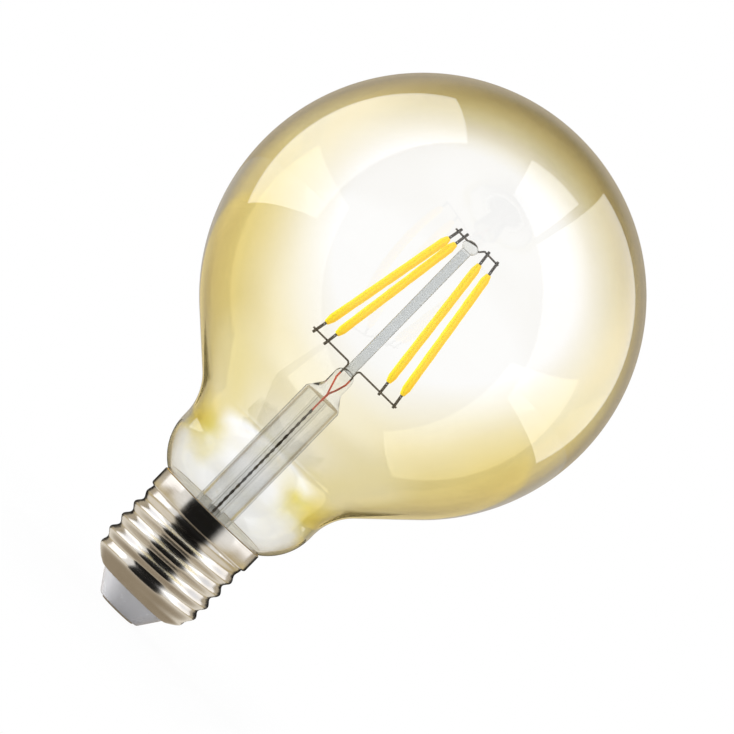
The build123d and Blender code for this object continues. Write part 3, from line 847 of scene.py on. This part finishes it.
def grow_ring(bm, ring, scale_x, scale_y, rise):
    """Extrudes a ring of edges upwards and scales it about the axis. Returns the new ring."""
    grown = bmesh.ops.extrude_edge_only(bm, edges=ring)["geom"]
    verts = [g for g in grown if isinstance(g, bmesh.types.BMVert)]
    bmesh.ops.scale(bm, vec=(scale_x, scale_y, 1), verts=verts)
    bmesh.ops.translate(bm, vec=(0, 0, rise * MM), verts=verts)
    fresh = set(verts)
    return [g for g in grown if isinstance(g, bmesh.types.BMEdge) and fresh.issuperset(g.verts)]


def open_ring(bm, radius):
    """The open edges of a turned piece that lie at this radius."""

    def lies_there(edge):
        return all(abs(vert.co.xy.length / MM - radius) < 0.05 for vert in edge.verts)

    return [edge for edge in bm.edges if edge.is_boundary and lies_there(edge)]


print("rings can be grown")

# %% Stem tube and press
STEM_RADIUS = 4.6
STEM_WALL = 0.8
STEM_TOP = 61.0
STEM_BORE = STEM_RADIUS - STEM_WALL
FLARE_MIDDLE = (10.4, 26.8)
FLARE_FOOT = SEAL_END - STEM_WALL
# Each ring of the press has its rise above the tube, half its width and half its depth.
PRESS_RINGS = (
    (0.5, 4.38, 4.26),
    (1.2, 3.90, 3.54),
    (2.0, 3.36, 2.76),
    (2.8, 2.86, 2.02),
    (3.4, 2.6, 1.6),
    (6.4, 2.6, 1.6),
)
CROWN_RISE = 1.9
CROWN_STEPS = 7
# The bore ends in a shallow dome: each ring's share of the one before, and its rise.
BORE_DOME = ((0.75, 0.18), (0.0, 0.07))

bm = bmesh.new()
last = profile_point(bm, STEM_RADIUS, STEM_TOP)
last = draw_line(bm, last, STEM_RADIUS, FLARE_MIDDLE[1])
last = draw_arc(bm, last, FLARE_MIDDLE, 90, 18)
flare_foot = ((SEAL_RADIUS, SEAL_END), (SEAL_RADIUS, FLARE_FOOT), (FLARE_MIDDLE[0], FLARE_FOOT))
last = draw_lines(bm, last, flare_foot)
last = draw_arc(bm, last, FLARE_MIDDLE, -90, 18)
draw_line(bm, last, STEM_BORE, STEM_TOP)
turn_on_lathe(bm, 96)
bore_ring = open_ring(bm, STEM_BORE)
ring = open_ring(bm, STEM_RADIUS)
size, done = (STEM_RADIUS, STEM_RADIUS), 0.0
for rise, half_x, half_y in PRESS_RINGS:
    ring = grow_ring(bm, ring, half_x / size[0], half_y / size[1], rise - done)
    size, done = (half_x, half_y), rise
shrunk, climbed = 1.0, 0.0
for step in range(1, CROWN_STEPS + 1):
    angle = math.pi / 2 * step / CROWN_STEPS
    narrow, climb = math.cos(angle), math.sin(angle) * CROWN_RISE
    ring = grow_ring(bm, ring, narrow / shrunk, narrow / shrunk, climb - climbed)
    shrunk, climbed = narrow, climb
for share, rise in BORE_DOME:
    bore_ring = grow_ring(bm, bore_ring, share, share, rise)
close_seams(bm)
finish_piece("stem_glass", bm, tube_glass, "clear_glass", "stem_flare")

# %% [markdown]
# The globe was pumped out and filled with gas through a thin tube in the stem, whose tip was then melted
# shut. The rod that carries the filaments stands on the press and ends in a melted bead round the two top
# wires. Both are turned. The bead is drawn as a half circle and flattened before the spin.

# %% Exhaust tube
TIP_HEIGHT = 18.5
TIP_MIDDLE = (0, 19.1)
EXHAUST_OUTLINE = ((1.6, 20.9), (1.6, STEM_TOP), (1.0, STEM_TOP), (1.0, 21.9), (0, 20.9))
bm = bmesh.new()
last = profile_point(bm, 0, TIP_HEIGHT)
last = draw_arc(bm, last, TIP_MIDDLE, 90, 6)
draw_lines(bm, last, EXHAUST_OUTLINE)
turn_on_lathe(bm, 48)
finish_piece("exhaust_glass", bm, exhaust_glass, "clear_glass", "exhaust_tube")

# %% Rod with its bead
ROD_RADIUS = 1.175
ROD_FOOT = 68.5
BEAD_HEIGHT = 105.2
BEAD_RADIUS = 1.9
BEAD_FLATTEN = 0.737
bead_start = math.acos(ROD_RADIUS / BEAD_RADIUS)
bm = bmesh.new()
last = profile_point(bm, 0, ROD_FOOT)
last = draw_line(bm, last, ROD_RADIUS, ROD_FOOT)
shaft = set(bm.verts)
last = draw_line(bm, last, ROD_RADIUS, BEAD_HEIGHT - BEAD_RADIUS * math.sin(bead_start))
draw_arc(bm, last, (0, BEAD_HEIGHT), 90 + math.degrees(bead_start), 24)
bead = [v for v in bm.verts if v not in shaft]
to_bead = Matrix.Translation((0, 0, -BEAD_HEIGHT * MM))
bmesh.ops.scale(bm, vec=(1, 1, BEAD_FLATTEN), space=to_bead, verts=bead)
turn_on_lathe(bm, 64)
finish_piece("rod_glass", bm, rod_glass, "clear_glass", "stem_rod")

# %% [markdown]
# ## Outer leads
# Two leads run from the press down to the driver. The photograph shows a dark beaded line inside the stem,
# as two thin strands make when they are twisted together. A strand is a small ring that is spun about the
# lead's own axis and lifted at each step, which draws a helix, and the second strand is the first one turned
# half round.

# %% Twisted leads
LEAD_PLACE = (1.233, 1.761)
LEAD_LOW = 9.4
LEAD_HIGH = 58.2
STRAND_RADIUS = 0.16
STRAND_SIDES = 8
TWIST_PITCH = 3.6
TWIST_STEPS = 16


def twisted_lead(side):
    """Two strands twisted round each other, left of the axis for side -1 and right of it for side 1."""
    x, y = (side * c * MM for c in LEAD_PLACE)
    turns = (LEAD_HIGH - LEAD_LOW) / TWIST_PITCH
    steps = round(turns * TWIST_STEPS)
    shape = {"cap_ends": True, "segments": STRAND_SIDES, "radius": STRAND_RADIUS * MM}
    bm = bmesh.new()
    for strand in (-1, 1):
        place = Matrix.Translation((x + strand * STRAND_RADIUS * MM, y, LEAD_LOW * MM))
        ring = bmesh.ops.create_circle(bm, matrix=place, **shape)["verts"]
        edges = {e for v in ring for e in v.link_edges}
        faces = {f for v in ring for f in v.link_faces}
        bmesh.ops.spin(
            bm,
            geom=ring + list(edges) + list(faces),
            cent=(x, y, LEAD_LOW * MM),
            axis=(0, 0, 1),
            dvec=(0, 0, (LEAD_HIGH - LEAD_LOW) * MM / steps),
            angle=2 * math.pi * turns,
            steps=steps,
        )
    return bm


for name, side in (("left", -1), ("right", 1)):
    bm = twisted_lead(side)
    wire = finish["tinned_wire"]
    finish_piece(f"twisted_lead_{name}", bm, wire, "tinned_wire", f"outer_lead_{name}", crease=60)

# %% [markdown]
# ## Screw cap
# The cap's sheet is plated with nickel: a warm, bright metal that is slightly soft in its mirror images.
# Rolling and polishing leave fine lines round the axis, and handling leaves faint clouds.

# %% Nickel finish
NICKEL_COLOURS = ((0.76, 0.72, 0.66, 1), (0.85, 0.815, 0.76, 1))
nickel, tree, output = start_material("nickel_plate_finish")
lines = effect(tree, turned_lines, Scale=2600.0, Stretch=0.02)
clouds = effect(tree, cloudiness, Scale=160.0, Contrast=0.25)
values = {
    "Base Color": blend_colours(tree, clouds, *NICKEL_COLOURS),
    "Metallic": 1.0,
    "Roughness": calculate(tree, "MULTIPLY_ADD", lines, 0.06, spread(tree, clouds, 0, 1, 0.15, 0.20)),
    "Normal": surface_bump(tree, lines, 0.10, 0.01),
}
show_principled(tree, output, values)
print("nickel finish")

# %% [markdown]
# The shell is drawn from thin sheet as a smooth cup, and then a pair of rollers presses the thread into its
# wall. The mesh is made in the same order: a cup is turned with its true wall, and every vertex of the wall
# is then pushed in or out along a helix. The push dies out below the smooth skirt. At the lower end a
# sloping shoulder takes over from the thread, and the change between them is rounded.

# %% Rolling the thread
MEAN_RADIUS = 12.7
THREAD_SWING = 0.5
THREAD_PITCH = 3.629
THREAD_PHASE = math.radians(80)
RUNOUT = (20.05, 24.35)
CONE_RADIUS, CONE_HEIGHT = 9.2, 5.0
CONE_BLEND = 2.4
SHOULDER_BULGE = 0.8
BULGE_HEIGHT = 7.2
BULGE_REACH = 2.4


def soft_minimum(a, b, width):
    """The smaller of two numbers, with a rounded change from one to the other."""
    share = max(0.0, min(1.0, 0.5 + (b - a) / (2 * width)))
    return b * (1 - share) + a * share - width * share * (1 - share)


def rolled_radius(angle, height, inset):
    """The wall's radius after rolling, at an angle and a height, for the outer wall or an inset one."""
    fade = max(0.0, min(1.0, (RUNOUT[1] - height) / (RUNOUT[1] - RUNOUT[0])))
    crest = THREAD_PHASE + 2 * math.pi * height / THREAD_PITCH
    thread = MEAN_RADIUS - inset + THREAD_SWING * fade * math.cos(angle - crest)
    bulge = SHOULDER_BULGE * max(0.0, 1 - ((height - BULGE_HEIGHT) / BULGE_REACH) ** 2) ** 2
    cone = CONE_RADIUS + (height - CONE_HEIGHT) + bulge - inset * math.sqrt(2)
    return soft_minimum(thread, cone, CONE_BLEND)


print(f"thread {2 * (MEAN_RADIUS + THREAD_SWING):.1f} mm across, pitch {THREAD_PITCH} mm")

# %% Cup for the shell
SHELL_WALL = 0.35
SKIRT_RADIUS = 13.4
SKIRT_BORE = SKIRT_RADIUS - SHELL_WALL
SKIRT_BASE = 24.0
SKIRT_ROUND = 0.5
CAP_RIM = 28.4
OUTER_RIM_ROUND, INNER_RIM_ROUND = 0.12, 0.1
LIP_RADIUS = 8.45
LIP_TOP = CONE_HEIGHT + SHELL_WALL
LIP_MIDDLE, LIP_TURN = (8.70, 6.2), 25
OUTER_WALL = (5.75, SKIRT_BASE - 0.12)
INNER_WALL = (6.0, SKIRT_BASE + 0.2)
WALL_STEP = 0.16


def wall_heights(low, high):
    """Evenly spaced heights from low to high."""
    count = round((high - low) / WALL_STEP)
    return [low + (high - low) * k / count for k in range(count + 1)]


def micron_place(radius, height):
    """A place in the profile in whole microns, by which a vertex is found again after the spin."""
    return round(radius * 1000), round(height * 1000)


def wall_line(bm, last, heights, insets, inset):
    """A run of profile vertices that will be rolled, remembered with their inset."""
    for height in heights:
        last = draw_line(bm, last, MEAN_RADIUS - inset, height)
        insets.setdefault(micron_place(MEAN_RADIUS - inset, height), inset)
    return last


insets = {}
bm = bmesh.new()
last = profile_point(bm, LIP_RADIUS, CONE_HEIGHT)
last = draw_line(bm, last, LIP_MIDDLE[0], CONE_HEIGHT)
last = draw_arc(bm, last, LIP_MIDDLE, LIP_TURN, 5)
last = wall_line(bm, last, wall_heights(*OUTER_WALL), insets, 0)
skirt_foot = ((12.78, SKIRT_BASE - 0.03), (SKIRT_RADIUS - SKIRT_ROUND, SKIRT_BASE))
last = draw_lines(bm, last, skirt_foot)
last = draw_arc(bm, last, (SKIRT_RADIUS - SKIRT_ROUND, SKIRT_BASE + SKIRT_ROUND), 90, 8)
last = draw_line(bm, last, SKIRT_RADIUS, CAP_RIM - OUTER_RIM_ROUND)
last = draw_arc(bm, last, (SKIRT_RADIUS - OUTER_RIM_ROUND, CAP_RIM - OUTER_RIM_ROUND), 90, 4)
last = draw_line(bm, last, SKIRT_BORE + INNER_RIM_ROUND, CAP_RIM)
last = draw_arc(bm, last, (SKIRT_BORE + INNER_RIM_ROUND, CAP_RIM - INNER_RIM_ROUND), 90, 4)
bore_foot = ((SKIRT_BORE, SKIRT_BASE + SKIRT_ROUND), (SKIRT_BORE - 0.15, SKIRT_BASE + SHELL_WALL))
last = draw_lines(bm, last, bore_foot)
last = wall_line(bm, last, reversed(wall_heights(*INNER_WALL)), insets, SHELL_WALL)
last = draw_lines(bm, last, ((8.9, LIP_TOP), (LIP_RADIUS, LIP_TOP)))
close_profile(bm, last)
print(len(bm.verts), "vertices in the cup's profile,", len(insets), "of them to be rolled")

# %% Rolled shell
turn_on_lathe(bm, 180)
for vert in bm.verts:
    radius, height = vert.co.xy.length / MM, vert.co.z / MM
    inset = insets.get(micron_place(radius, height))
    if inset is not None:
        angle = math.atan2(vert.co.y, vert.co.x)
        vert.co.xy *= rolled_radius(angle, height, inset) / radius
finish_piece("rolled_shell", bm, nickel, "nickel_plate", "cap_shell", crease=50)

# %% [markdown]
# The foot of the cap is a moulded insulator, pale grey and glossy, which the shell's lip holds. It is turned
# from the same sizes as the solid, hollow inside as the real moulding is. The rounding at its tip is an arc
# that touches both the flat face and the slope.

# %% Insulator finish
INSULATOR_GREYS = ((195, 195, 198), (206, 206, 209))
insulator, tree, output = start_material("insulator_finish")
clouds = effect(tree, cloudiness, Scale=420.0, Contrast=0.5)
moulded = effect(tree, turned_lines, Scale=900.0, Stretch=0.05)
values = {
    "Base Color": blend_screen(tree, clouds, *INSULATOR_GREYS),
    "Roughness": spread(tree, clouds, 0, 1, 0.20, 0.30),
    "Coat Weight": spread(tree, clouds, 0, 1, 0.35, 0.50),
    "Normal": surface_bump(tree, moulded, 0.08, 0.03),
}
show_principled(tree, output, values)
print("insulator finish")

# %% Insulator
SEAT_RADIUS, SEAT_HEIGHT = 4.35, 0.6
PIN_HOLE = 1.45
TIP_RADIUS = 5.2
TIP_FACE = 0.35
TIP_ROUND = 0.6
INSULATOR_OUTLINE = (
    (LIP_RADIUS, CONE_HEIGHT),
    (LIP_RADIUS, LIP_TOP),
    (8.9, LIP_TOP),
    (10.65, 6.95),
    (10.65, 10.6),
    (10.05, 10.6),
    (10.05, 10.0),
    (8.25, 10.0),
    (8.25, 6.4),
    (6.85, 5.0),
    (5.0, 2.35),
    (PIN_HOLE, 2.35),
)
tip_slope = math.atan2(LIP_RADIUS - TIP_RADIUS, CONE_HEIGHT - TIP_FACE)
tip_cut = TIP_RADIUS - TIP_ROUND * math.tan((math.pi / 2 - tip_slope) / 2)
bm = bmesh.new()
last = profile_point(bm, PIN_HOLE, SEAT_HEIGHT)
last = draw_lines(bm, last, ((SEAT_RADIUS, SEAT_HEIGHT), (SEAT_RADIUS, TIP_FACE), (tip_cut, TIP_FACE)))
last = draw_arc(bm, last, (tip_cut, TIP_FACE + TIP_ROUND), 90 - math.degrees(tip_slope), 8)
close_profile(bm, draw_lines(bm, last, INSULATOR_OUTLINE))
turn_on_lathe(bm, 96)
finish_piece("moulded_foot", bm, insulator, "insulator", "cap_insulator", crease=30)

# %% [markdown]
# The centre contact is a pressed disc with a hollow pin that goes through the insulator to the fuse. One
# spin makes disc and pin together, and a small arc rounds the edge that meets the lampholder.

# %% Centre contact
CONTACT_RADIUS = 4.3
CONTACT_ROUND = 0.2
PIN_OUTLINE = ((CONTACT_RADIUS, 0.6), (1.4, 0.6), (1.4, 3.6), (0.25, 3.6), (0.25, 0.3), (0, 0.3))
contact_flat = CONTACT_RADIUS - CONTACT_ROUND
bm = bmesh.new()
last = profile_point(bm, 0, 0.0)
last = draw_line(bm, last, contact_flat, 0.0)
last = draw_arc(bm, last, (contact_flat, CONTACT_ROUND), 90, 5)
draw_lines(bm, last, PIN_OUTLINE)
turn_on_lathe(bm, 72)
finish_piece("contact_disc", bm, finish["contact_plate"], "contact_plate", "centre_contact", crease=30)

# %% [markdown]
# A ring of cement holds the glass in the cap. Baking browned it where it met the air, and that part shows as
# a thin brown line between rim and glass. The part against the glass stayed pale. It is lit through the neck
# on the real bulb, so a weak glow of its own keeps it from going dark inside the cap.

# %% Cement finish
CEMENT_PALE = ((242, 240, 235), (250, 249, 246))
CEMENT_BROWN = ((136, 104, 48), (186, 154, 88))
BROWN_FROM = (12.87, 12.93)
CEMENT_GLOW = 0.34
cement, tree, output = start_material("cement_finish")
clouds = effect(tree, cloudiness, Scale=2200.0, Contrast=0.3)
reach = axis_reach(tree, split(tree, object_place(tree)))
toasted = spread(tree, reach, BROWN_FROM[0] * MM, BROWN_FROM[1] * MM)
pale = blend_screen(tree, clouds, *CEMENT_PALE)
brown = blend_screen(tree, clouds, *CEMENT_BROWN)
values = {
    "Base Color": blend_colours(tree, toasted, pale, brown),
    "Emission Color": blend_colours(tree, toasted, pale, (0, 0, 0, 1)),
    "Emission Strength": CEMENT_GLOW,
    "Roughness": spread(tree, clouds, 0, 1, 0.45, 0.65),
    "Normal": surface_bump(tree, clouds, 0.5, 0.05),
}
show_principled(tree, output, values)
print("cement finish")

# %% Cement ring
RIM_TURN = 4.8
rim_angle = math.radians(SHOULDER_TURN - RIM_TURN)
rim_radius = SHOULDER_MIDDLE[0] + SHOULDER_RADIUS * math.cos(rim_angle)
rim_height = SHOULDER_MIDDLE[1] - SHOULDER_RADIUS * math.sin(rim_angle)
cement_foot = SKIRT_BASE + SHELL_WALL
bm = bmesh.new()
last = profile_point(bm, SKIRT_BORE, SKIRT_BASE + SKIRT_ROUND)
last = draw_line(bm, last, SKIRT_BORE, CAP_RIM)
last = draw_arc(bm, last, (SKIRT_BORE - 0.02, CAP_RIM + 0.08), 150, 6)
last = draw_line(bm, last, rim_radius, rim_height)
last = draw_arc(bm, last, SHOULDER_MIDDLE, -RIM_TURN, 4)
last = draw_arc(bm, last, SEAL_MIDDLE, SHOULDER_TURN, 6)
close_profile(bm, draw_lines(bm, last, ((SEAL_RADIUS, cement_foot), (12.9, cement_foot))))
turn_on_lathe(bm, 128)
finish_piece("cement_ring", bm, cement, "cement", "cap_cement", crease=30)

# %% [markdown]
# ## Filaments
# Each filament is a thin ceramic strip with a row of chips, dipped in silicone that is full of yellow
# phosphor. The phosphor is a strong yellow with fine grains. A wandering band of deeper yellow runs from the
# middle to one side: painted shade on that side of the coat. The band follows the filament, so it reads an
# attribute that runs across the coat. A weak glow stands for light that goes into the coat and comes out
# again yellow.

# %% Phosphor finish
PHOSPHOR_YELLOWS = ((255, 221, 0), (255, 229, 0))
# The next colour is painted shade for one side of the coat.
SHADED_SIDE_YELLOW = (255, 201, 0)
GRAIN_YELLOW = (255, 211, 0)
phosphor, tree, output = start_material("phosphor_finish")
clouds = effect(tree, cloudiness, Scale=900.0, Contrast=0.3)
grains = effect(tree, cloudiness, Scale=6000.0, Contrast=0.35)
across = add(tree, "Attribute", attribute_name="across").outputs["Fac"]
wander = calculate(tree, "MULTIPLY_ADD", clouds, 0.3, across)
# Painted shade: a deeper yellow band from the middle to one side of each coat.
shade_band_end = spread(tree, wander, 0.55, 1.05, 1.0, 0.0)
painted_shade_band = calculate(tree, "MULTIPLY", spread(tree, wander, -0.25, 0.25), shade_band_end)
yellow = blend_screen(tree, clouds, *PHOSPHOR_YELLOWS)
colour = blend_colours(tree, painted_shade_band, yellow, linear(*SHADED_SIDE_YELLOW))
grain_share = calculate(tree, "MULTIPLY", grains, 0.35)
values = {
    "Base Color": blend_colours(tree, grain_share, colour, linear(*GRAIN_YELLOW)),
    "Roughness": spread(tree, grains, 0, 1, 0.38, 0.55),
    "Specular IOR Level": 0.2,
    "Emission Color": colour,
    "Emission Strength": 0.15,
    "Normal": surface_bump(tree, grains, 0.25, 0.03),
}
show_principled(tree, output, values)
print("phosphor finish")

# %% [markdown]
# The coat is a soft bar: a cube is stretched, its long edges and its ends are bevelled, and it is cut across
# at even steps so that it can swell and thin a little along its length, as a dipped coat does. It is made
# upright in its own frame, and then moved between the two welds of its filament.

# %% Coat bar
COAT = (1.86, 1.38, 31.2)
COAT_CORNER = 0.55
COAT_POINT = 1.5
COAT_POINT_SHARE = 0.60
COAT_END = 0.15
COAT_CUTS = 39
POINT_CUTS = (0.25, 0.5, 0.75, 1.0, 1.25)
COAT_SWELL = 0.03
# Two waves make the swelling: each has its turn per millimetre and its shift from filament to filament.
SLOW_WAVE = (0.9, 2.1)
QUICK_WAVE, QUICK_SHARE = (2.3, 4.7), 0.6


def coat_bar(index):
    """One dipped coat in its own frame, with a slow swelling that differs from filament to filament."""
    bm = bmesh.new()
    bmesh.ops.create_cube(bm, size=MM)
    bmesh.ops.scale(bm, vec=COAT, verts=bm.verts)
    long_edges = [e for e in bm.edges if abs(e.verts[0].co.z - e.verts[1].co.z) > MM]
    bevel = {"affect": "EDGES", "profile": 0.5, "material": -1}
    bmesh.ops.bevel(bm, geom=long_edges, offset=COAT_CORNER * MM, segments=6, **bevel)
    end = COAT[2] / 2 * MM
    end_edges = [e for e in bm.edges if all(abs(abs(v.co.z) - end) < NO_LENGTH for v in e.verts)]
    bmesh.ops.bevel(bm, geom=end_edges, offset=COAT_END * MM, segments=3, **bevel)
    even = COAT[2] / 2 - COAT_POINT
    heights = [even * (2 * cut / (COAT_CUTS + 1) - 1) for cut in range(COAT_CUTS + 2)]
    heights += [end_side * (even + rise) for rise in POINT_CUTS for end_side in (-1, 1)]
    for height in heights:
        everything = bm.verts[:] + bm.edges[:] + bm.faces[:]
        bmesh.ops.bisect_plane(bm, geom=everything, plane_co=(0, 0, height * MM), plane_no=(0, 0, 1))
    across = bm.verts.layers.float.new("across")
    for vert in bm.verts:
        z = vert.co.z / MM
        vert[across] = vert.co.x / MM / (COAT[0] / 2)
        slow = math.sin(z * SLOW_WAVE[0] + index * SLOW_WAVE[1])
        quick = math.sin(z * QUICK_WAVE[0] + index * QUICK_WAVE[1])
        swell = (slow + QUICK_SHARE * quick) / (1 + QUICK_SHARE)
        narrowing = max(0.0, (abs(z) - even) / COAT_POINT)
        vert.co.xy *= (1 + COAT_SWELL * swell) * (1 - (1 - COAT_POINT_SHARE) * narrowing)
    return bm


print(f"coats of {COAT[0]} by {COAT[1]} by {COAT[2]} mm")

# %% Four coats in place
FOOT_HEIGHT = 70.6
HEAD_HEIGHTS = (105.8, 105.8, 106.8, 106.8)
FOOT_REACH = (-13.6, -9.5, 9.1, 14.1)
HEAD_REACH = (-5.2, -3.2, 4.1, 7.5)
FILAMENT_FRONT = -0.335


def filament_place(index):
    """The filament's own frame: its length along Z, its width along X, its middle between the two welds."""
    foot = Vector((FOOT_REACH[index], FILAMENT_FRONT, FOOT_HEIGHT)) * MM
    head = Vector((HEAD_REACH[index], FILAMENT_FRONT, HEAD_HEIGHTS[index])) * MM
    along = (head - foot).normalized()
    across = Vector((0, 1, 0)).cross(along)
    return standing(across, along.cross(across), along, (foot + head) / 2)


for index in range(4):
    bm = coat_bar(index)
    bmesh.ops.transform(bm, matrix=filament_place(index), verts=bm.verts)
    number = index + 1
    finish_piece(f"phosphor_coat_{number}", bm, phosphor, "phosphor", f"filament_{number}_coat", crease=60)
